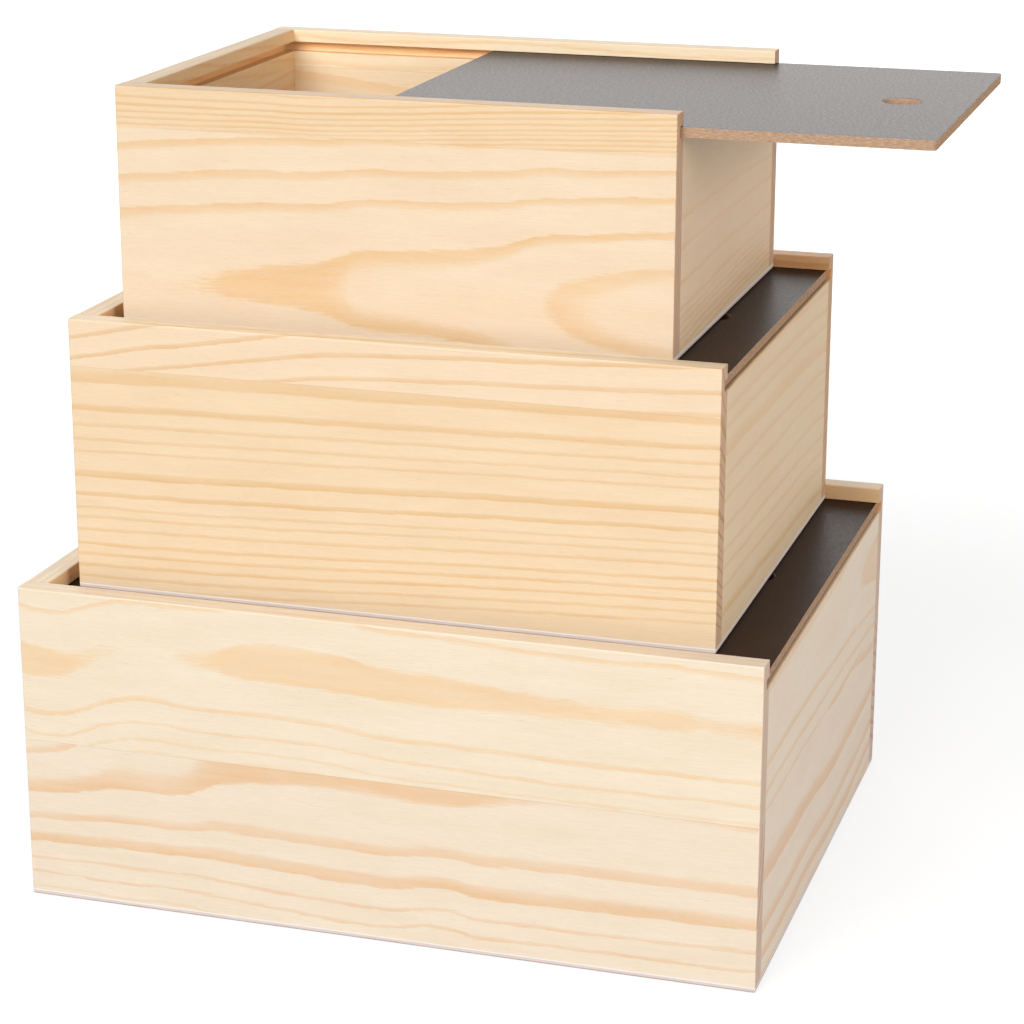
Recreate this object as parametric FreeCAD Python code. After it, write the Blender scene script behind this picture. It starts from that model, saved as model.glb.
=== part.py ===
"""Set of three graded wooden boxes with sliding lids, stacked largest at the bottom.

Every wall is a pine board, or a panel edge-glued from two. The long walls cover the ends of the
short ones. A groove runs round three walls under the rim and holds the lid, a thin panel with a
finger hole. The fourth wall stops below the lid, so that the lid slides out over it, towards +X.

Millimetres. +Z is up, +X is the way the lids open, and -Y is the front. The origin is the centre
of the large box's underside.
"""
import FreeCAD, Part
import os

V = FreeCAD.Vector

# Outside of the largest box
large_length = 400.0
large_depth = 324.0
large_height = 175.0

# Room that each smaller box has inside the next larger one, when the set is nested
medium_room_length = 28.0
medium_room_depth = 22.0
medium_room_height = 11.0
small_room_length = 26.0
small_room_depth = 20.0
small_room_height = 6.2

# Boards and panels
wall = 12.0
bottom_thickness = 3.0
lid_thickness = 5.0

# Width of the upper of the two boards that a wall is glued from, measured down from the rim
large_upper_board = 85.0
medium_upper_board = 25.0
small_upper_board = 21.0

# Lid groove: the lip is the wood left above it
large_lip = 8.5
medium_lip = 7.5
small_lip = 6.9
groove_depth = 6.0

# Running clearances of the lid, and how far the closed lid stops short of the walls' ends
lid_gap = 0.3
lid_side_gap = 0.5
lid_end_inset = 2.0
end_wall_drop = 0.5

# Finger hole of each lid, with its centre's distance from the lid's free end, and the lid's corners
finger_hole_diameter = 20.0
large_hole_inset = 38.0
medium_hole_inset = 36.0
small_hole_inset = 35.5
lid_corner_radius = 3.0
hole_edge_round = 0.6

# Sanded edges of the walls and of the bottom panel
edge_round = 0.8
bottom_edge_round = 1.2

# Where each box stands inside the rim of the one below it, and the gap under it
medium_left_gap = 8.0
medium_rear_gap = 1.5
small_left_gap = 6.2
small_rear_gap = 3.0
stand_gap = 0.3

# How far the small box's lid is pulled out of its closed place
small_lid_pull = 127.0

# How far a cutting solid runs past what it cuts, and how near two places count as one
overrun = 2.0
same_place = 0.001

# Height of the groove that every box has for its lid
groove_height = lid_thickness + 2 * lid_gap


def slab(low_x, high_x, low_y, high_y, low_z, high_z):
    """A rectangular solid between two corners."""
    corner = V(low_x, low_y, low_z)
    return Part.makeBox(high_x - low_x, high_y - low_y, high_z - low_z, corner)


def lies_at(edge, x=None, y=None, z=None):
    """True if the whole edge lies at the places that are given."""
    box = edge.BoundBox
    spans = ((x, box.XMin, box.XMax), (y, box.YMin, box.YMax), (z, box.ZMin, box.ZMax))
    for place, low, high in spans:
        if place is None:
            continue
        if abs(low - place) > same_place or abs(high - place) > same_place:
            return False
    return True


def is_circle(edge, radius):
    """True if the edge is a circle of that radius."""
    return isinstance(edge.Curve, Part.Circle) and abs(edge.Curve.Radius - radius) < same_place


def straight(start, end):
    """A straight edge between two points."""
    return Part.LineSegment(start, end).toShape()


def soften(solid, radius, places):
    """Round the edges that lie at any of the places, each a dict of x, y or z."""
    edges = [edge for edge in solid.Edges if any(lies_at(edge, **place) for place in places)]
    return solid.makeFillet(radius, edges)


class Box:
    """Outside sizes and corners of one box, and the heights that its pieces share."""

    def __init__(self, name, length, depth, height, upper_board, lip, left, front, base):
        self.name = name
        self.length = length
        self.depth = depth
        self.height = height
        self.left = left
        self.right = left + length
        self.front = front
        self.rear = front + depth
        self.base = base
        self.wall_base = base + bottom_thickness
        self.rim = base + height
        self.glue_line = self.rim - upper_board
        self.groove_top = self.rim - lip
        self.groove_floor = self.groove_top - groove_height
        self.lid_top = self.groove_top - lid_gap
        self.lid_base = self.lid_top - lid_thickness
        self.inside_height = self.lid_base - self.wall_base


def smaller_box(name, outer, rooms, upper_board, lip, left_gap, rear_gap):
    """A box that nests inside the outer one, placed on the outer one's lid, within its rim."""
    room_length, room_depth, room_height = rooms
    length = outer.length - 2 * wall - room_length
    depth = outer.depth - 2 * wall - room_depth
    height = outer.inside_height - room_height
    left = outer.left + wall + left_gap
    front = outer.rear - wall - rear_gap - depth
    base = outer.lid_top + stand_gap
    return Box(name, length, depth, height, upper_board, lip, left, front, base)


def split_at_glue_line(box, side, solid):
    """The upper and the lower board of a wall that is glued from two."""
    bounds = solid.BoundBox
    span = (bounds.XMin - overrun, bounds.XMax + overrun, bounds.YMin - overrun, bounds.YMax + overrun)
    above = slab(*span, box.glue_line, bounds.ZMax + overrun)
    below = slab(*span, bounds.ZMin - overrun, box.glue_line)
    return {
        f"{box.name}_{side}_upper_board": solid.common(above),
        f"{box.name}_{side}_lower_board": solid.common(below),
    }


def long_wall(box, side):
    """Front or rear wall: the full length of the box, with the lid groove run right through."""
    outer = box.front if side == "front" else box.rear
    inward = 1 if side == "front" else -1
    inner = outer + inward * wall
    groove_bottom = inner - inward * groove_depth
    past_face = inner + inward * overrun
    board = slab(box.left, box.right, min(outer, inner), max(outer, inner), box.wall_base, box.rim)
    board = soften(board, edge_round, [
        {"x": box.left, "y": outer},
        {"x": box.right, "y": outer},
        {"y": outer, "z": box.rim},
        {"y": inner, "z": box.rim},
    ])
    groove = slab(
        box.left - overrun, box.right + overrun,
        min(groove_bottom, past_face), max(groove_bottom, past_face),
        box.groove_floor, box.groove_top,
    )
    return split_at_glue_line(box, side, board.cut(groove))


def closed_end_wall(box):
    """Left end wall: between the long walls, up to the rim, with the end of the lid groove."""
    inner = box.left + wall
    board = slab(box.left, inner, box.front + wall, box.rear - wall, box.wall_base, box.rim)
    board = soften(board, edge_round, [{"x": box.left, "z": box.rim}, {"x": inner, "z": box.rim}])
    groove = slab(
        inner - groove_depth, inner + overrun,
        box.front, box.rear,
        box.groove_floor, box.groove_top,
    )
    return split_at_glue_line(box, "left_end", board.cut(groove))


def open_end_wall(box, two_boards):
    """Right end wall: between the long walls, low enough for the lid to slide out over it."""
    top = box.groove_floor - end_wall_drop
    board = slab(box.right - wall, box.right, box.front + wall, box.rear - wall, box.wall_base, top)
    board = soften(board, edge_round, [{"x": box.right, "z": top}])
    if two_boards:
        return split_at_glue_line(box, "right_end", board)
    return {f"{box.name}_right_end_board": board}


def bottom_panel(box):
    """Thin panel that covers the whole underside, so that its edge shows all round."""
    panel = slab(box.left, box.right, box.front, box.rear, box.base, box.wall_base)
    corners = [{"x": x, "y": y} for x in (box.left, box.right) for y in (box.front, box.rear)]
    panel = soften(panel, edge_round, corners)
    underside = [edge for edge in panel.Edges if lies_at(edge, z=box.base)]
    return {f"{box.name}_bottom_panel": panel.makeFillet(bottom_edge_round, underside)}


def lid(box, pull, hole_inset):
    """Lid: its long edges and its left end lie in the grooves, and its right corners are round."""
    left = box.left + wall - groove_depth + lid_side_gap + pull
    right = box.right - lid_end_inset + pull
    front = box.front + wall - groove_depth + lid_side_gap
    rear = box.rear - wall + groove_depth - lid_side_gap
    radius = lid_corner_radius
    turn = radius * (1 - 2 ** -0.5)

    def at(x, y):
        return V(x, y, box.lid_base)

    near_corner = (at(right - radius, front), at(right - turn, front + turn), at(right, front + radius))
    far_corner = (at(right, rear - radius), at(right - turn, rear - turn), at(right - radius, rear))
    outline = Part.Wire([
        straight(at(left, front), near_corner[0]),
        Part.Arc(*near_corner).toShape(),
        straight(near_corner[-1], far_corner[0]),
        Part.Arc(*far_corner).toShape(),
        straight(far_corner[-1], at(left, rear)),
        straight(at(left, rear), at(left, front)),
    ])
    panel = Part.Face(outline).extrude(V(0, 0, lid_thickness))
    hole_radius = finger_hole_diameter / 2
    hole_foot = V(right - hole_inset, (front + rear) / 2, box.lid_base - overrun)
    panel = panel.cut(Part.makeCylinder(hole_radius, lid_thickness + 2 * overrun, hole_foot))
    rims = [edge for edge in panel.Edges if is_circle(edge, hole_radius)]
    return {f"{box.name}_lid": panel.makeFillet(hole_edge_round, rims)}


def box_pieces(box, pull, hole_inset, right_end_in_two):
    """Every piece of one box, by node name."""
    pieces = {}
    pieces.update(long_wall(box, "front"))
    pieces.update(long_wall(box, "rear"))
    pieces.update(closed_end_wall(box))
    pieces.update(open_end_wall(box, right_end_in_two))
    pieces.update(bottom_panel(box))
    pieces.update(lid(box, pull, hole_inset))
    return pieces


large = Box(
    "large", large_length, large_depth, large_height, large_upper_board, large_lip,
    left=-large_length / 2, front=-large_depth / 2, base=0,
)
medium = smaller_box(
    "medium", large, (medium_room_length, medium_room_depth, medium_room_height),
    medium_upper_board, medium_lip, medium_left_gap, medium_rear_gap,
)
small = smaller_box(
    "small", medium, (small_room_length, small_room_depth, small_room_height),
    small_upper_board, small_lip, small_left_gap, small_rear_gap,
)

nodes = {}
nodes.update(box_pieces(large, 0, large_hole_inset, right_end_in_two=True))
nodes.update(box_pieces(medium, 0, medium_hole_inset, right_end_in_two=False))
nodes.update(box_pieces(small, small_lid_pull, small_hole_inset, right_end_in_two=False))

os.makedirs("parts", exist_ok=True)
for name, shape in nodes.items():
    solid = shape.Solids[0] if len(shape.Solids) == 1 else shape
    solid.exportStep(f"parts/{name}.step")
    print(f"{name}: {len(shape.Solids)} solid, {shape.Volume / 1000:.1f} cubic centimetres")
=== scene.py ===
"""Looks of three graded pine boxes with sliding lids: planed boards with their growth rings,
film-faced lids and thin bottom panels, under soft studio light.

Places are in metres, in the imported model's frame. Grain is written in millimetres, board by board.
"""
import math
import random
from collections import namedtuple

import bpy
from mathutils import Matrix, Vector


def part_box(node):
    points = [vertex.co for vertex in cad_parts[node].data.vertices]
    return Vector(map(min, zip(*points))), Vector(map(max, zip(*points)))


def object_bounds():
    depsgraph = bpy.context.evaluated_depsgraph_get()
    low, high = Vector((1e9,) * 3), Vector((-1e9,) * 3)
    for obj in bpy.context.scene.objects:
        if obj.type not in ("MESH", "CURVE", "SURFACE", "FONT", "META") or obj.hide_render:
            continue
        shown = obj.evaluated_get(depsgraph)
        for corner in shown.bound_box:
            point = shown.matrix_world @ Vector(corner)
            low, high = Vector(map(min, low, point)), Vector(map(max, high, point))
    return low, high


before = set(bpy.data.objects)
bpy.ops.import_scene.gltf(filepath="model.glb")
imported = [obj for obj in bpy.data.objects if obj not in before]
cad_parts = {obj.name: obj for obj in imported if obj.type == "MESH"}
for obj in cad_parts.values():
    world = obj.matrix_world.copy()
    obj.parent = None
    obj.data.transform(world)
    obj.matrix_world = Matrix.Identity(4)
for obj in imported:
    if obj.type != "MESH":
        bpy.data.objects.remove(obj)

cad_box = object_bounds()
MM = 1000.0

# Colours and tints are linear, as the shader sockets take them
PLAIN_TINT = (1, 1, 1, 1)
# Painted warm shade in the lid grooves, as bounced light between the pine gives them
PAINTED_GROOVE_SHADE = (1.0, 0.87, 0.72, 1)
PORE_BROWN = (0.45, 0.27, 0.12, 1)
JOINT_BROWN = (0.36, 0.21, 0.11, 1)
CUT_RING_BROWN = (0.3, 0.17, 0.1, 1)
RIM_LINE_BROWN = (0.42, 0.26, 0.15, 1)

# Marks in the wood, each as its length along the board and its width across, in millimetres
STREAK = (18.0, 0.6)
FLECK = (5.0, 0.8)
PORE = (7.0, 0.42)
MOTTLE = (70.0, 12.0)
LATEWOOD_PATCH = (55.0, 5.0)
RIM_LINE = (120.0, 0.9)
RING_WAVE = (42.0, 13.0)
FRAYED_EDGE = (15.0, 1.0)
FRAYED_FIBRES = (11.0, 0.9)

# Depth that a full step of a bump height stands for, in metres
BUMP_DEPTH = 0.0001


def linear(red, green, blue):
    """The shader's colour for one that is given as it looks on a screen, 0 to 255."""
    def channel(value):
        share = value / 255
        return share / 12.92 if share <= 0.04045 else ((share + 0.055) / 1.055) ** 2.4
    return (channel(red), channel(green), channel(blue), 1.0)


class Tree:
    """A node tree that is filled one node at a time."""

    def __init__(self, tree):
        self.tree = tree

    def add(self, kind, inputs=None, **settings):
        """One node. Inputs are values or other nodes' outputs, by socket name or number."""
        node = self.tree.nodes.new(kind)
        node.location = (190 * (len(self.tree.nodes) % 12), -260 * (len(self.tree.nodes) // 12))
        for name, value in settings.items():
            setattr(node, name, value)
        for socket, value in (inputs or {}).items():
            self.feed(node.inputs[socket], value)
        return node

    def feed(self, socket, value):
        if isinstance(value, bpy.types.NodeSocket):
            self.tree.links.new(value, socket)
        else:
            socket.default_value = value

    def math(self, operation, first, second=None):
        inputs = {0: first} if second is None else {0: first, 1: second}
        return self.add("ShaderNodeMath", inputs, operation=operation).outputs[0]

    def vector(self, operation, first, second=None):
        node = self.add("ShaderNodeVectorMath", {0: first}, operation=operation)
        if second is not None:
            self.feed(node.inputs[1], second)
        return node.outputs["Value" if operation in ("DOT_PRODUCT", "LENGTH") else "Vector"]

    def combine(self, x, y, z):
        return self.add("ShaderNodeCombineXYZ", {"X": x, "Y": y, "Z": z}).outputs[0]

    def remap(self, value, low, high, new_low=0.0, new_high=1.0, clamp=True):
        places = {"Value": value, "From Min": low, "From Max": high, "To Min": new_low, "To Max": new_high}
        return self.add("ShaderNodeMapRange", places, clamp=clamp).outputs[0]

    def noise(self, place, detail=2.0, roughness=0.5):
        """Smooth noise about 0.5, one lump to each unit of the place."""
        settings = {"Vector": place, "Scale": 1.0, "Detail": detail, "Roughness": roughness}
        return self.add("ShaderNodeTexNoise", settings).outputs["Fac"]

    def mix(self, share, first, second, blend="MIX"):
        """Two colours mixed. The node has its colours' sockets after those for numbers and vectors."""
        colours = {0: share, 6: first, 7: second}
        return self.add("ShaderNodeMix", colours, data_type="RGBA", blend_type=blend).outputs[2]

    def curve(self, value, points, smooth=True):
        """A value drawn as a line through points, each (where, value)."""
        low_x, high_x = points[0][0], points[-1][0]
        low_y, high_y = min(y for _, y in points), max(y for _, y in points)
        node = self.add("ShaderNodeFloatCurve", {"Value": self.remap(value, low_x, high_x)})
        line = node.mapping.curves[0]
        while len(line.points) < len(points):
            line.points.new(0.5, 0.5)
        for spot, (x, y) in zip(line.points, points):
            spot.location = ((x - low_x) / (high_x - low_x), (y - low_y) / ((high_y - low_y) or 1.0))
            spot.handle_type = "AUTO" if smooth else "VECTOR"
        node.mapping.update()
        return self.remap(node.outputs[0], 0.0, 1.0, low_y, high_y, clamp=False)


def new_group(name, inputs, outputs):
    """An empty shader group with named sockets, and its tree, input and output."""
    group = bpy.data.node_groups.new(name, "ShaderNodeTree")
    for title, kind, value in inputs:
        socket = group.interface.new_socket(title, in_out="INPUT", socket_type=kind)
        socket.default_value = value
    for title, kind in outputs:
        group.interface.new_socket(title, in_out="OUTPUT", socket_type=kind)
    tree = Tree(group)
    return group, tree, tree.add("NodeGroupInput").outputs, tree.add("NodeGroupOutput").inputs


NUMBER, COLOUR, PLACE = "NodeSocketFloat", "NodeSocketColor", "NodeSocketVector"


def board_axes_group():
    """Where a point lies on its board, in millimetres, and which of the board's faces it is on."""
    group, tree, given, result = new_group(
        "board axes",
        [("Corner", PLACE, (0, 0, 0)), ("Along Axis", PLACE, (1, 0, 0)),
         ("Down Axis", PLACE, (0, 0, -1)), ("Inward Axis", PLACE, (0, 1, 0))],
        [("Along", NUMBER), ("Down", NUMBER), ("Inward", NUMBER), ("End Grain", NUMBER),
         ("Inner Face", NUMBER), ("Rim Face", NUMBER), ("Groove", NUMBER)],
    )
    # How much of the normal lies along an axis where a rounded edge begins to count as that axis's
    # face, and where it wholly does
    edge_turn, face_turn = 0.45, 0.85
    # What faces up is rim down to the first of these depths, and none of it is from the second on
    rim_end, under_rim_start = 1.5, 3.0
    # What faces inward is the groove's back up to the first, and the inner face from the second on
    groove_back_end, inner_face_start = 8.0, 11.0
    surface = tree.add("ShaderNodeTexCoord").outputs
    place = tree.vector("SUBTRACT", surface["Object"], given["Corner"])
    reach = {}
    for title in ("Along", "Down", "Inward"):
        metres = tree.vector("DOT_PRODUCT", place, given[title + " Axis"])
        reach[title] = tree.math("MULTIPLY", metres, MM)
        tree.feed(result[title], reach[title])
    facing = tree.math("ABSOLUTE", tree.vector("DOT_PRODUCT", surface["Normal"], given["Along Axis"]))
    tree.feed(result["End Grain"], tree.remap(facing, edge_turn, face_turn))
    facing_in = tree.vector("DOT_PRODUCT", surface["Normal"], given["Inward Axis"])
    inner = tree.remap(facing_in, edge_turn, face_turn)
    tree.feed(result["Inner Face"], inner)
    facing_down = tree.vector("DOT_PRODUCT", surface["Normal"], given["Down Axis"])
    upward = tree.remap(facing_down, -face_turn, -edge_turn, 1.0, 0.0)
    under_rim = tree.remap(reach["Down"], rim_end, under_rim_start)
    tree.feed(result["Rim Face"], tree.math("MULTIPLY", upward, tree.math("SUBTRACT", 1.0, under_rim)))
    # The lid groove's back lies inside the board, and its floor faces up
    inside_board = tree.remap(reach["Inward"], groove_back_end, inner_face_start, 1.0, 0.0)
    groove_back = tree.math("MULTIPLY", inner, inside_board)
    groove_floor = tree.math("MULTIPLY", upward, under_rim)
    tree.feed(result["Groove"], tree.math("MAXIMUM", groove_back, groove_floor))
    return group


def growth_group():
    """How far out in the log a point grew. Its rings are places on this scale."""
    group, tree, given, result = new_group(
        "growth",
        [("Along", NUMBER, 0.0), ("Down", NUMBER, 0.0), ("Inward", NUMBER, 0.0),
         ("Crown", NUMBER, 0.0), ("Lift", NUMBER, 0.0), ("Spread", NUMBER, 400.0),
         ("Inward Growth", NUMBER, 0.5), ("Wave", NUMBER, 3.0), ("Jagged", NUMBER, 1.0)],
        [("Growth", NUMBER)],
    )

    def wander(mark, amount, shift=0.0):
        """A wander either way, in lumps of a mark's size, that reaches half the amount."""
        length, width = mark
        place = tree.combine(
            tree.math("DIVIDE", given["Along"], length),
            tree.math("DIVIDE", tree.math("ADD", given["Down"], shift), width),
            tree.math("DIVIDE", given["Inward"], width),
        )
        return tree.math("MULTIPLY", tree.math("SUBTRACT", tree.noise(place, 2.0), 0.5), amount)

    edge_reach = tree.math("MULTIPLY", given["Jagged"], 3.0)
    fibre_growth = tree.math("MULTIPLY", given["Jagged"], 0.18)
    # Far enough down for the fibres' lumps to differ from the edge's
    elsewhere = 37.0
    down = tree.math("ADD", given["Down"], wander(RING_WAVE, given["Wave"]))
    down = tree.math("ADD", down, wander(FRAYED_EDGE, edge_reach))
    from_crown = tree.math("SUBTRACT", down, given["Crown"])
    bow = tree.math("DIVIDE", tree.math("MULTIPLY", from_crown, from_crown), given["Spread"])
    growth = tree.math("ADD", bow, given["Lift"])
    growth = tree.math("ADD", growth, tree.math("MULTIPLY", given["Inward"], given["Inward Growth"]))
    fibres = wander(FRAYED_FIBRES, fibre_growth, elsewhere)
    tree.feed(result["Growth"], tree.math("ADD", growth, fibres))
    return group


def planed_pine_group():
    """Colour, roughness and height of planed pine, from its latewood and where it lies on the board."""
    group, tree, given, result = new_group(
        "planed pine",
        [("Along", NUMBER, 0.0), ("Down", NUMBER, 0.0), ("Inward", NUMBER, 0.0),
         ("Latewood", NUMBER, 0.0), ("End Grain", NUMBER, 0.0), ("Joint", NUMBER, 0.0),
         ("Earlywood Colour", COLOUR, PLAIN_TINT), ("Latewood Colour", COLOUR, PLAIN_TINT),
         ("End Grain Tint", COLOUR, PLAIN_TINT), ("Inner Face", NUMBER, 0.0),
         ("Inner Tint", COLOUR, PLAIN_TINT), ("Rim Face", NUMBER, 0.0),
         ("Rim Tint", COLOUR, PLAIN_TINT), ("Groove", NUMBER, 0.0),
         ("Groove Tint", COLOUR, PLAIN_TINT)],
        [("Colour", COLOUR), ("Roughness", NUMBER), ("Height", NUMBER)],
    )

    # How much of its own colour each kind of mark shows at its darkest
    pore_share, rim_line_share, cut_ring_share, joint_share = 0.3, 0.22, 0.4, 0.18
    # Latewood is harder than earlywood and planes smoother, and sawn end grain is the roughest
    early_roughness, late_roughness, sawn_extra, streak_extra = 0.58, 0.47, 0.2, 0.04

    def fibres(mark, detail=2.0):
        length, width = mark
        place = tree.combine(
            tree.math("DIVIDE", given["Along"], length),
            tree.math("DIVIDE", given["Down"], width),
            tree.math("DIVIDE", given["Inward"], width),
        )
        return tree.noise(place, detail)

    streaks = fibres(STREAK)
    flecks = fibres(FLECK)
    mottle = fibres(MOTTLE)
    pores = tree.remap(fibres(PORE, 1.0), 0.7, 0.8)
    rim_line_length, rim_line_width = RIM_LINE
    rim_place = tree.combine(
        tree.math("DIVIDE", given["Along"], rim_line_length),
        0.0,
        tree.math("DIVIDE", given["Inward"], rim_line_width),
    )
    rim_lines = tree.noise(rim_place, 1.0)
    # Latewood isn't even, neither along a ring nor from fibre to fibre
    patches = tree.remap(fibres(LATEWOOD_PATCH), 0.3, 0.7, 0.72, 1.12)
    strength = tree.math("MULTIPLY", given["Latewood"], tree.remap(streaks, 0.3, 0.7, 0.8, 1.15))
    strength = tree.math("MULTIPLY", strength, patches)
    colour = tree.mix(strength, given["Earlywood Colour"], given["Latewood Colour"])
    warmer, cooler = (0.985, 0.965, 0.945, 1), (1.015, 1.025, 1.035, 1)
    colour = tree.mix(1.0, colour, tree.mix(tree.remap(mottle, 0.3, 0.7), warmer, cooler), "MULTIPLY")
    fine = tree.remap(streaks, 0.25, 0.75, 0.965, 1.025)
    fine = tree.math("MULTIPLY", fine, tree.remap(flecks, 0.25, 0.75, 0.975, 1.02))
    colour = tree.mix(1.0, colour, tree.combine(fine, fine, fine), "MULTIPLY")
    colour = tree.mix(tree.math("MULTIPLY", pores, pore_share), colour, PORE_BROWN)
    # The end grain tint is the wood's own colour; the inner, rim and groove tints are painted light and
    # shade
    for face in ("End Grain", "Inner Face", "Rim Face", "Groove"):
        tint = face.replace(" Face", "") + " Tint"
        colour = tree.mix(given[face], colour, tree.mix(1.0, colour, given[tint], "MULTIPLY"))
    rim_dark = tree.remap(rim_lines, 0.4, 0.65, 0.0, rim_line_share)
    colour = tree.mix(tree.math("MULTIPLY", given["Rim Face"], rim_dark), colour, RIM_LINE_BROWN)
    cut_rings = tree.math("MULTIPLY", given["End Grain"], strength)
    colour = tree.mix(tree.math("MULTIPLY", cut_rings, cut_ring_share), colour, CUT_RING_BROWN)
    colour = tree.mix(tree.math("MULTIPLY", given["Joint"], joint_share), colour, JOINT_BROWN)
    tree.feed(result["Colour"], colour)
    planed = tree.remap(strength, 0.0, 1.0, early_roughness, late_roughness)
    rough = tree.math("ADD", planed, tree.math("MULTIPLY", given["End Grain"], sawn_extra))
    uneven = tree.remap(streaks, 0.3, 0.7, -streak_extra, streak_extra)
    tree.feed(result["Roughness"], tree.math("ADD", rough, uneven))
    relief = tree.math("ADD", tree.math("MULTIPLY", strength, 0.5), tree.math("MULTIPLY", streaks, 0.5))
    tree.feed(result["Height"], tree.math("SUBTRACT", relief, tree.math("MULTIPLY", pores, 0.8)))
    return group


BOARD_AXES = board_axes_group()
GROWTH = growth_group()
PLANED_PINE = planed_pine_group()

# Colours of the pale and of the dark wood in a ring, and what tints them where the ring is cut through
Wood = namedtuple("Wood", "early late end_grain")
Grain = namedtuple("Grain", "spread crown lift inward rings wave jagged", defaults=(3.0, 1.0))


def rings_at(*rings):
    """Latewood along the growth scale. A ring is (its sharp outer side, its width, how dark).

    It darkens slowly from its inner side and ends sharply. Rings that meet are kept apart.
    """
    apart = 0.01
    shoulder_share, shoulder_darkness = 0.3, 0.62
    # The sharp side takes up this share of a ring's width, and less of a wide one's
    edge_share, wide_edge, wide_edge_share = 0.16, 0.03, 0.05
    points = []
    for outer, width, dark in sorted(rings):
        start = outer - width
        if points and points[-1][0] > start:
            start = points[-1][0] + apart
        shoulder = start + shoulder_share * (outer - start)
        edge = outer - min(edge_share * width, wide_edge + wide_edge_share * width)
        points += [(start, 0.0), (shoulder, shoulder_darkness * dark), (edge, dark), (outer, 0.0)]
    first, last = points[0][0], points[-1][0]
    return ((first - 1.0, 0.0), *points, (last + 1.0, 0.0))


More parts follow.
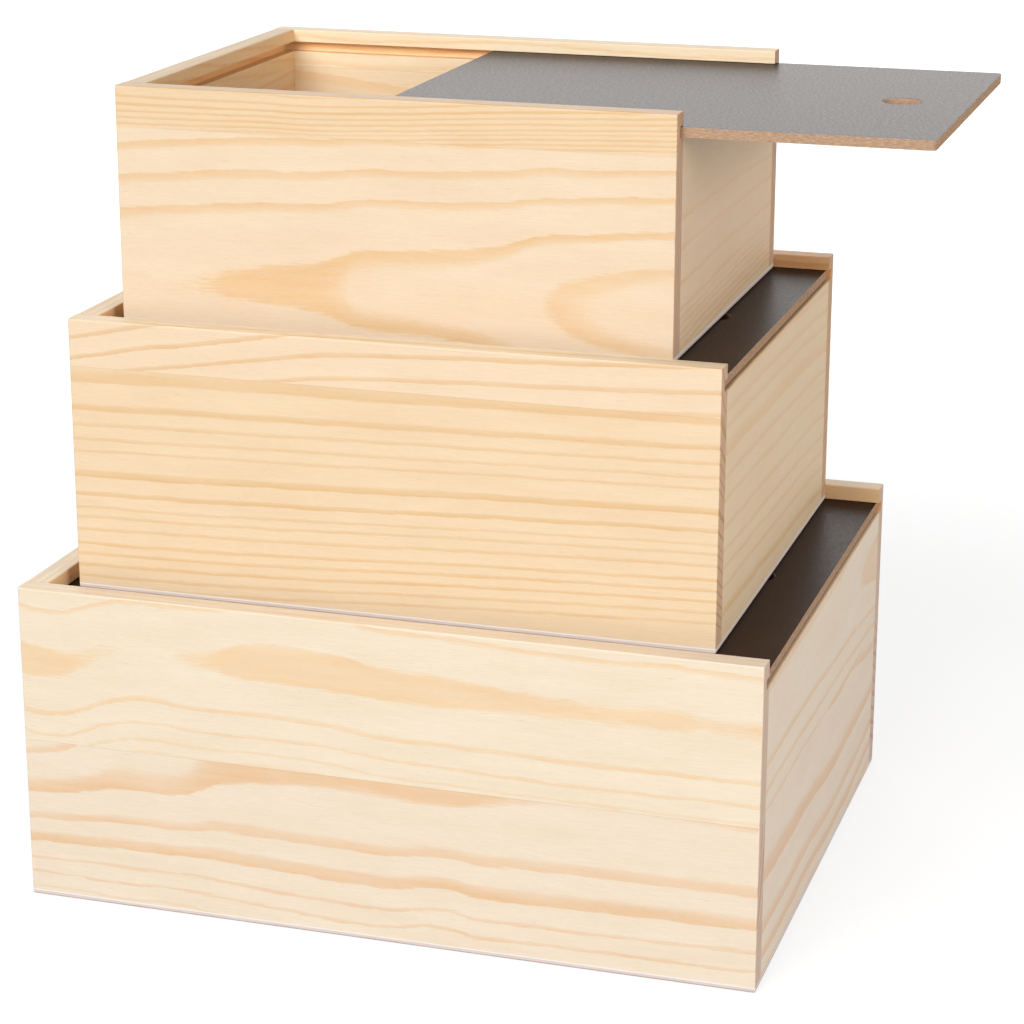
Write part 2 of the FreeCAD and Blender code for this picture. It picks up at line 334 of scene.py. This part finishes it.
# Each visible board's grain, in millimetres. Crown is the line down from the rim that the rings bow
# about, at places along the board. Lift is how much older the wood is there. Inward is the growth for
# each millimetre into the board. A large spread bows the rings less. Wave and jagged say how uneven
# their edges are.
GRAINS = {
    "small_front_upper_board": Grain(
        spread=400,
        crown=((0, -79), (40, -88), (80, -95), (130, -100), (200, -102), (298, -102)),
        lift=((0, 0.4), (40, -3.8), (80, -7.1), (130, -9.5), (200, -8.3), (298, -5.8)),
        inward=0.5,
        rings=rings_at((16.0, 0.8, 0.8), (18.3, 0.8, 0.9), (20.2, 0.9, 1.2), (21.8, 0.8, 0.9),
                       (23.4, 0.8, 0.9), (25.0, 0.8, 0.9), (26.2, 0.6, 0.7), (27.7, 0.8, 0.9),
                       (29.2, 0.8, 0.9), (30.6, 0.8, 0.9)),
        wave=1.0,
        jagged=0.3,
    ),
    "small_front_lower_board": Grain(
        spread=1200,
        crown=((0, 104.5), (37, 101.5), (80, 99.5), (130, 98.5), (200, 98), (230, 98.5),
               (255, 100.5), (298, 100)),
        lift=((0, 0.2), (37, 0.14), (80, 0.04), (110, -0.02), (123, -0.12), (132, -0.22),
              (160, -0.28), (200, -0.42), (230, -0.85), (260, -1.15), (298, -1.35)),
        inward=0.5,
        rings=rings_at((-0.85, 0.28, 0.75), (0.14, 0.3, 1.0), (1.6, 0.38, 0.8), (3.05, 0.5, 0.8),
                       (4.95, 0.6, 0.9), (6.9, 0.6, 0.8)),
        jagged=0.8,
    ),
    "medium_front_upper_board": Grain(
        spread=400,
        crown=((0, -100), (348, -100)),
        lift=((0, 0), (20, 2.4), (40, 4.8), (70, 7.3), (100, 10.1), (120, 11.9), (140, 13.4),
              (180, 14.8), (260, 16.4), (348, 18.6)),
        inward=-0.75,
        rings=rings_at((31.0, 1.5, 0.9), (37.4, 1.6, 1.0), (43.8, 1.6, 0.9), (50.7, 1.7, 0.8),
                       (57.5, 1.8, 0.7)),
        wave=2.0,
        jagged=0.45,
    ),
    "medium_front_lower_board": Grain(
        spread=400,
        crown=((0, -100), (100, -103.5), (140, -108), (200, -115), (300, -124.5), (348, -128)),
        lift=((0, 0), (100, -0.8), (140, -3.8), (200, -8.1), (300, -14.3), (348, -16.4)),
        inward=-0.75,
        rings=rings_at((44.8, 5.5, 0.85), (55.4, 3.0, 1.0), (61.8, 1.9, 0.75), (68.2, 1.9, 0.7),
                       (73.6, 1.8, 0.7), (85.8, 4.2, 1.1), (95.6, 3.0, 1.1), (102.7, 1.9, 0.65),
                       (107.9, 2.0, 0.7), (115.1, 2.3, 0.75), (124.0, 2.4, 0.85),
                       (130.3, 2.3, 0.85), (137.6, 2.6, 0.95), (145.0, 2.5, 0.8),
                       (152.0, 2.5, 0.7)),
        wave=2.0,
        jagged=0.5,
    ),
    "large_front_upper_board": Grain(
        spread=400,
        crown=((0, 37), (15, 40), (32, 37), (50, 31), (75, 28), (100, 29), (140, 27), (180, 28.5),
               (205, 31.5), (260, 32.5), (310, 34), (345, 33.5), (400, 34)),
        lift=((0, 0), (20, 0.08), (38, 0.19), (57, 0.25), (72, 0.34), (88, 0.23), (110, 0.15),
              (140, -0.05), (175, -0.05), (205, 0.03), (240, 0.05), (275, 0.13), (320, 0.17),
              (352, 0.14), (377, 0.2), (400, 0.17)),
        inward=0.7,
        rings=rings_at((0.25, 1.1, 0.95), (2.3, 0.45, 0.95), (4.45, 0.45, 0.85), (6.5, 0.45, 0.7),
                       (8.3, 0.5, 0.6), (10.0, 0.6, 0.7)),
    ),
    "large_front_lower_board": Grain(
        spread=400,
        crown=((0, 60), (20, 61), (40, 65.5), (60, 68), (80, 67), (100, 71), (112, 74.5),
               (140, 78), (200, 80.5), (235, 75), (255, 79.5), (300, 79.5), (400, 77.5)),
        lift=((0, -1.05), (20, -0.4), (40, 1.55), (60, 2.7), (80, 2.5), (100, 4), (112, 5.2),
              (140, 5.9), (200, 6.2), (235, 5.6), (255, 6.2), (300, 6.5), (400, 6.3)),
        inward=0.7,
        rings=rings_at((1.7, 0.6, 0.8), (6.6, 2.3, 1.05), (11.4, 1.5, 0.9), (16.4, 2.5, 1.05),
                       (20.9, 0.9, 0.8), (25.0, 0.9, 0.8), (29.5, 0.9, 0.5)),
    ),
    "small_right_end_board": Grain(
        spread=400,
        crown=((0, -80), (118, -101), (234, -118)),
        lift=((0, 0.5), (118, -15.5), (234, -32.5)),
        inward=0.6,
        rings=rings_at((46.0, 2.8, 0.9), (57.2, 3.0, 0.9), (71.6, 3.0, 0.9), (83.4, 2.5, 0.8),
                       (87.5, 2.0, 0.7), (91.0, 2.0, 0.8), (94.5, 2.0, 0.8), (98.5, 2.2, 0.9),
                       (102.5, 2.2, 0.9), (106.5, 2.2, 0.9)),
    ),
    "medium_right_end_board": Grain(
        spread=400,
        crown=((0, -107), (75, -104.5), (139, -101.5), (209, -100), (278, -96)),
        lift=((0, -1.1), (75, -0.1), (139, 1.3), (209, 1.3), (278, 0.9)),
        inward=-0.75,
        rings=rings_at((35.4, 2.6, 0.7), (42.6, 2.6, 0.7), (48.3, 2.6, 0.7), (58.6, 6.5, 0.8),
                       (68.4, 3.0, 0.7), (78.7, 3.0, 0.65), (92.0, 3.5, 0.7), (103.9, 3.0, 0.7),
                       (113.7, 3.0, 0.65), (124.5, 3.5, 0.7), (141.0, 6.0, 0.9)),
    ),
    "large_right_end_upper_board": Grain(
        spread=400,
        crown=((0, 36), (87, 36.5), (123, 37.5), (165, 38.5), (237, 39), (324, 41.5)),
        lift=((0, -0.2), (87, -0.22), (123, -0.26), (165, -0.38), (237, -0.84), (324, -1.7)),
        inward=0.7,
        rings=rings_at((-1.0, 0.9, 1.0), (1.05, 0.5, 1.0), (3.1, 0.7, 0.95), (5.2, 0.7, 0.8)),
    ),
    "large_right_end_lower_board": Grain(
        spread=400,
        crown=((0, 72.5), (72, 72), (132, 69), (191, 69), (247, 67.5), (278, 62.5), (324, 52)),
        lift=((0, 0.5), (72, -0.3), (132, -1.5), (191, -2.9), (247, -3.1), (278, -4.5),
              (324, -7.2)),
        inward=0.7,
        rings=rings_at((-1.9, 1.2, 0.95), (6.1, 2.8, 1.25), (14.6, 3.0, 1.0), (20.7, 3.1, 1.25),
                       (26.0, 2.2, 1.0)),
    ),
}


def grain_of_another_board(number, length, crowned):
    """Made-up grain for a board that isn't listed above: crowned, or with near-straight rings.

    The number seeds it, so that every run gives a board the same grain.
    """
    dice = random.Random(number)
    steps = 5
    along = [length * step / (steps - 1) for step in range(steps)]
    crown_place = dice.uniform(35, 95) if crowned else -dice.uniform(85, 110)
    drift = dice.uniform(-8, 8)
    crown = [(x, crown_place + drift * step + dice.uniform(-2, 2)) for step, x in enumerate(along)]
    slope = dice.uniform(-0.5, 0.5) if crowned else dice.uniform(-3, 3)
    lift = [(x, slope * step + dice.uniform(-0.3, 0.3)) for step, x in enumerate(along)]
    rings = []
    outer, last = (-2.0, 22) if crowned else (12.0, 150)
    widening = 0.12 if crowned else 0.06
    while outer < last:
        gap = dice.uniform(1.8, 2.6) + widening * max(outer, 0)
        width = dice.uniform(0.3, 0.45) * gap
        outer += gap
        rings.append((outer, width, dice.uniform(0.5, 0.95)))
    return Grain(400, tuple(crown), tuple(lift), dice.choice((-0.6, 0.6)), rings_at(*rings))


END_GRAIN = (0.79, 0.68, 0.66, 1)
LILAC_END_GRAIN = (0.84, 0.76, 0.8, 1)

# The upper board of each wall is from another plank than the lower one
WOODS = {
    "small upper": Wood(linear(240, 212, 174), linear(232, 192, 140), END_GRAIN),
    "small lower": Wood(linear(242, 219, 189), linear(236, 196, 144), END_GRAIN),
    "medium upper": Wood(linear(246, 221, 189), linear(233, 192, 141), END_GRAIN),
    "medium lower": Wood(linear(244, 218, 182), linear(234, 195, 143), END_GRAIN),
    "large upper": Wood(linear(247, 231, 206), linear(246, 213, 170), LILAC_END_GRAIN),
    "large lower": Wood(linear(246, 229, 206), linear(240, 202, 160), LILAC_END_GRAIN),
    "small_right_end_board": Wood(linear(242, 213, 178), linear(234, 194, 146), END_GRAIN),
    "small_rear_upper_board": Wood(linear(246, 225, 196), linear(238, 200, 152), END_GRAIN),
    "large_right_end_upper_board": Wood(linear(250, 234, 213), linear(242, 208, 172), LILAC_END_GRAIN),
    "large_right_end_lower_board": Wood(linear(250, 233, 213), linear(240, 202, 166), LILAC_END_GRAIN),
}

# Painted light and shade on the inner faces: most are warmer and darker, as bounced light between the
# walls makes them, and the small box's rear is brighter
PAINTED_INNER_LIGHT_AND_SHADE = {
    "small left": (1.08, 0.98, 0.84, 1),
    "small rear": (1.12, 1.12, 1.06, 1),
    "medium left": (1.05, 0.86, 0.66, 1),
    "medium rear": (1.05, 0.8, 0.58, 1),
    "large left": (1.05, 0.86, 0.66, 1),
    "large rear": (1.0, 0.8, 0.58, 1),
}
# Painted light and shade on the rims: most are a little darker than the faces below them, and the rear
# ones warmer
PAINTED_RIM_LIGHT_AND_SHADE = {
    "small front": (0.83, 0.79, 0.78, 1),
    "small left": (0.85, 0.86, 0.84, 1),
    "medium front": (0.97, 1.01, 1.03, 1),
    "medium left": (0.94, 0.96, 0.96, 1),
    "medium rear": (1.12, 0.87, 0.66, 1),
    "large front": (0.95, 0.94, 0.95, 1),
    "large left": (0.95, 0.95, 0.95, 1),
    "large rear": (1.1, 1.03, 1.0, 1),
}


def new_material(name, specular):
    """A material with its node tree and its shader's sockets."""
    material = bpy.data.materials.new(name)
    material.use_nodes = True
    sockets = material.node_tree.nodes["Principled BSDF"].inputs
    sockets["Specular IOR Level"].default_value = specular
    return material, Tree(material.node_tree), sockets


def dress(node, material):
    """Give a piece one material all over."""
    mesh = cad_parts[node].data
    mesh.materials.clear()
    mesh.materials.append(material)


def add_bump(tree, shader, strength, height):
    """Relief of a surface, from a height between 0 and 1."""
    relief = {"Strength": strength, "Distance": BUMP_DEPTH, "Height": height}
    tree.feed(shader["Normal"], tree.add("ShaderNodeBump", relief).outputs["Normal"])


def board_place(node):
    """A board's corner at the rim, its three axes and its length, from its box in the frame."""
    box, side = node.split("_")[:2]
    low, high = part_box(node)
    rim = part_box(f"{box}_front_upper_board")[1].z
    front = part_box(f"{box}_front_upper_board")[0].y
    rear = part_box(f"{box}_rear_upper_board")[1].y
    down = (0, 0, -1)
    if side == "front":
        return (low.x, low.y, rim), (1, 0, 0), down, (0, 1, 0), high.x - low.x
    if side == "rear":
        return (low.x, high.y, rim), (1, 0, 0), down, (0, -1, 0), high.x - low.x
    if side == "left":
        return (low.x, front, rim), (0, 1, 0), down, (1, 0, 0), rear - front
    return (high.x, front, rim), (0, 1, 0), down, (-1, 0, 0), rear - front


def pine_board(node, number, wood):
    """Planed pine cut as this board is."""
    corner, along_axis, down_axis, inward_axis, length = board_place(node)
    crowned = number % 2 == 1
    grain = GRAINS.get(node) or grain_of_another_board(number, length * MM, crowned)
    wall = " ".join(node.split("_")[:2])
    material, tree, shader = new_material(node.replace("_", " ") + " pine", 0.35)
    low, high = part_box(node)
    axes = tree.add("ShaderNodeGroup", node_tree=BOARD_AXES)
    for title, value in (("Corner", corner), ("Along Axis", along_axis),
                         ("Down Axis", down_axis), ("Inward Axis", inward_axis)):
        tree.feed(axes.inputs[title], value)
    place = {title: axes.outputs[title] for title in ("Along", "Down", "Inward")}
    growth = tree.add("ShaderNodeGroup", node_tree=GROWTH)
    for title, value in {
        **place,
        "Crown": tree.curve(place["Along"], grain.crown),
        "Lift": tree.curve(place["Along"], grain.lift),
        "Spread": float(grain.spread),
        "Inward Growth": grain.inward,
        "Wave": grain.wave,
        "Jagged": grain.jagged,
    }.items():
        tree.feed(growth.inputs[title], value)
    latewood = tree.curve(growth.outputs["Growth"], grain.rings, smooth=False)
    # A fine dark line under the glue line between two boards, and at both sides of a right end wall
    joint_width = 0.6
    joint = 0.0
    if node.endswith("lower_board"):
        glue_line = (corner[2] - high.z) * MM
        joint = tree.remap(place["Down"], glue_line, glue_line + joint_width, 1.0, 0.0)
    if "right_end" in node:
        half = (high.y - low.y) / 2 * MM
        from_middle = tree.math("ABSOLUTE", tree.math("SUBTRACT", place["Along"], length * MM / 2))
        joint = tree.remap(from_middle, half - joint_width, half)
    pine = tree.add("ShaderNodeGroup", node_tree=PLANED_PINE)
    for title, value in {
        **place,
        "Latewood": latewood,
        "End Grain": axes.outputs["End Grain"],
        "Joint": joint,
        "Earlywood Colour": wood.early,
        "Latewood Colour": wood.late,
        "End Grain Tint": wood.end_grain,
        # The inner, rim and groove tints are painted light and shade
        "Inner Face": axes.outputs["Inner Face"],
        "Inner Tint": PAINTED_INNER_LIGHT_AND_SHADE.get(wall, PLAIN_TINT),
        "Rim Face": axes.outputs["Rim Face"],
        "Rim Tint": PAINTED_RIM_LIGHT_AND_SHADE.get(wall, PLAIN_TINT),
        "Groove": axes.outputs["Groove"],
        "Groove Tint": PAINTED_GROOVE_SHADE,
    }.items():
        tree.feed(pine.inputs[title], value)
    tree.feed(shader["Base Color"], pine.outputs["Colour"])
    tree.feed(shader["Roughness"], pine.outputs["Roughness"])
    add_bump(tree, shader, 0.25, pine.outputs["Height"])
    return material


# Index of refraction of the film. The lids that a box stands on are duller
LID_GLOSS = {"small_lid": 1.16, "medium_lid": 1.12, "large_lid": 1.12}

# Lumps to a metre along X, Y and Z, in the film of a lid and in its sawn edge
FILM_SPECKLE = (700.0, 700.0, 700.0)
FILM_GRIT = (500.0, 500.0, 500.0)
FILM_CLOUD = (60.0, 60.0, 60.0)
SAWN_EDGE = (330.0, 330.0, 1700.0)

# The same for a bottom panel: the plies and fibres in its edge, and its veneer's lines and figure
PLIES = (40.0, 40.0, 1500.0)
PLY_FIBRES = (300.0, 300.0, 2500.0)
VENEER_LINES = (9.0, 170.0, 170.0)
VENEER_FIGURE = (3.0, 28.0, 28.0)


def flat_faces(tree, normal, edge_turn, face_turn):
    """1 on a panel's flat top and underside, and 0 on its edges, with the turns as for a board."""
    upward = tree.math("ABSOLUTE", tree.vector("DOT_PRODUCT", normal, (0.0, 0.0, 1.0)))
    return tree.remap(upward, edge_turn, face_turn)


def lid_material(node):
    """Thin fibreboard, faced with dark film above and below, and sawn at its edges."""
    material, tree, shader = new_material(node.replace("_", " ") + " film", 0.5)
    shader["IOR"].default_value = LID_GLOSS[node]
    surface = tree.add("ShaderNodeTexCoord").outputs
    place = surface["Object"]
    film = flat_faces(tree, surface["Normal"], 0.8, 0.95)

    def lumps(to_a_metre):
        return tree.noise(tree.vector("MULTIPLY", place, to_a_metre), 3.0, 0.6)

    fine = lumps(FILM_SPECKLE)
    cloud = lumps(FILM_CLOUD)
    dark = tree.mix(tree.remap(fine, 0.35, 0.65), linear(36, 20, 9), linear(56, 36, 22))
    dark = tree.mix(tree.remap(cloud, 0.35, 0.7, 0.0, 0.5), dark, linear(52, 33, 20))
    chips = lumps(SAWN_EDGE)
    bare = tree.mix(tree.remap(chips, 0.3, 0.7), linear(168, 132, 104), linear(208, 176, 148))
    tree.feed(shader["Base Color"], tree.mix(film, bare, dark))
    film_roughness = tree.remap(fine, 0.3, 0.7, 0.3, 0.46)
    sawn_roughness = tree.remap(film, 0.0, 1.0, 0.8, 0.0)
    tree.feed(shader["Roughness"], tree.math("MAXIMUM", film_roughness, sawn_roughness))
    add_bump(tree, shader, 0.6, lumps(FILM_GRIT))
    return material


def bottom_material(node):
    """Thin plywood panel under a box. Its edge is white along the top, and has painted shade at its foot.
    """
    # From each first height to the second the edge turns white, or from painted shade to bare plies
    white_below_top = (0.0009, 0.0005)
    shade_above_foot = (0.0004, 0.0012)
    low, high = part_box(node)
    material, tree, shader = new_material(node.replace("_", " ") + " board", 0.3)
    surface = tree.add("ShaderNodeTexCoord").outputs
    place = surface["Object"]
    layers = tree.noise(tree.vector("MULTIPLY", place, PLIES), 2.0)
    colour = tree.mix(tree.remap(layers, 0.3, 0.7), linear(238, 222, 212), linear(226, 206, 199))
    height = tree.add("ShaderNodeSeparateXYZ", {0: place}).outputs["Z"]
    top_white = tree.remap(height, high.z - white_below_top[0], high.z - white_below_top[1])
    # Painted shade along the foot of the edge
    foot = tree.remap(height, low.z + shade_above_foot[0], low.z + shade_above_foot[1], 0.3, 0.0)
    colour = tree.mix(top_white, colour, linear(250, 247, 243))
    colour = tree.mix(foot, colour, linear(150, 128, 120))
    veneer = tree.noise(tree.vector("MULTIPLY", place, VENEER_LINES), 4.0)
    figure = tree.noise(tree.vector("MULTIPLY", place, VENEER_FIGURE), 2.0)
    veneer = tree.math("ADD", veneer, tree.math("SUBTRACT", figure, 0.5))
    face = tree.mix(tree.remap(veneer, 0.25, 0.75), linear(242, 225, 200), linear(226, 196, 160))
    colour = tree.mix(flat_faces(tree, surface["Normal"], 0.9, 0.98), colour, face)
    tree.feed(shader["Base Color"], colour)
    fibre = tree.noise(tree.vector("MULTIPLY", place, PLY_FIBRES), 2.0)
    tree.feed(shader["Roughness"], tree.remap(fibre, 0.3, 0.7, 0.6, 0.75))
    add_bump(tree, shader, 0.2, fibre)
    return material


def dress_boxes():
    """Give every piece in the frame its material."""
    for number, node in enumerate(sorted(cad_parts)):
        box = node.split("_")[0]
        if node.endswith("board"):
            row = "upper" if node.endswith("upper_board") else "lower"
            wood = WOODS.get(node) or WOODS[f"{box} {row}"]
            dress(node, pine_board(node, number, wood))
        elif node.endswith("lid"):
            dress(node, lid_material(node))
        else:
            dress(node, bottom_material(node))


def white_to_the_camera(tree, light):
    """1 for what the camera, gloss and glass see, and the given light for all other rays."""
    path = tree.add("ShaderNodeLightPath").outputs
    seen = tree.math("MAXIMUM", path["Is Camera Ray"], path["Is Glossy Ray"])
    seen = tree.math("MAXIMUM", seen, path["Is Transmission Ray"])
    return tree.remap(seen, 0.0, 1.0, light, 1.0)


def make_world():
    """A white background, which lights the boxes as a dim room does."""
    world = bpy.data.worlds.new("studio")
    world.use_nodes = True
    bpy.context.scene.world = world
    tree = Tree(world.node_tree)
    background = world.node_tree.nodes["Background"]
    background.inputs["Color"].default_value = (1, 1, 1, 1)
    room_light = 0.28
    tree.feed(background.inputs["Strength"], white_to_the_camera(tree, room_light))


def make_floor():
    """A large plain pale floor at the object's foot."""
    reach = 12.0
    gap = 0.0002
    corners = [(-reach, -reach, 0), (reach, -reach, 0), (reach, reach, 0), (-reach, reach, 0)]
    mesh = bpy.data.meshes.new("floor")
    mesh.from_pydata(corners, [], [(0, 1, 2, 3)])
    floor = bpy.data.objects.new("floor", mesh)
    bpy.context.scene.collection.objects.link(floor)
    floor.location.z = cad_box[0][2] - gap
    material = bpy.data.materials.new("pale floor")
    material.use_nodes = True
    tree = Tree(material.node_tree)
    nodes = material.node_tree.nodes
    nodes.remove(nodes["Principled BSDF"])
    diffuse = tree.add("ShaderNodeBsdfDiffuse", {"Color": (0.3, 0.3, 0.3, 1)})
    glow = tree.add("ShaderNodeEmission", {"Color": (1, 1, 1, 1)})
    # The lamps light the floor near the object, and further out its own white takes over
    place = tree.add("ShaderNodeTexCoord").outputs["Object"]
    distance = tree.vector("LENGTH", place)
    near, far, white_near_it = 0.5, 1.6, 0.78
    white = tree.remap(distance, near, far, white_near_it, 1.0)
    seen = white_to_the_camera(tree, 0.0)
    tree.feed(glow.inputs["Strength"], tree.math("MULTIPLY", seen, white))
    both = tree.add("ShaderNodeAddShader", {0: diffuse.outputs[0], 1: glow.outputs[0]})
    tree.feed(nodes["Material Output"].inputs["Surface"], both.outputs[0])
    mesh.materials.append(material)


def softbox(name, place, size, watts, colour=(1, 1, 1)):
    """A square lamp of that size, turned to the middle of the stack."""
    aim = Vector((0, 0, 0.2))
    data = bpy.data.lights.new(name, "AREA")
    data.color = colour
    data.shape = "SQUARE"
    data.size = size
    data.energy = watts
    lamp = bpy.data.objects.new(name, data)
    bpy.context.scene.collection.objects.link(lamp)
    lamp.location = place
    lamp.rotation_euler = (aim - Vector(place)).to_track_quat("-Z", "Y").to_euler()


def make_lights():
    softbox("key softbox", place=(-1.0, -3.9, 2.75), size=2.4, watts=178.0)
    softbox("fill softbox", place=(2.6, -1.0, 0.55), size=1.6, watts=37.0, colour=(1.0, 0.95, 0.9))
    softbox("back softbox", place=(-1.0, 3.2, 1.1), size=2.4, watts=34.0)


def make_camera():
    """The photograph's viewpoint, from the boxes' edges in it."""
    data = bpy.data.cameras.new("camera")
    data.sensor_width = 36.0
    data.lens = 101.174
    camera = bpy.data.objects.new("camera", data)
    bpy.context.scene.collection.objects.link(camera)
    camera.location = (0.47005, -1.45032, 0.66294)
    camera.rotation_euler = [math.radians(angle) for angle in (72.6625, -0.0869, 17.2165)]
    bpy.context.scene.camera = camera


dress_boxes()
make_world()
make_floor()
make_lights()
make_camera()
bpy.context.scene.view_settings.view_transform = "Standard"
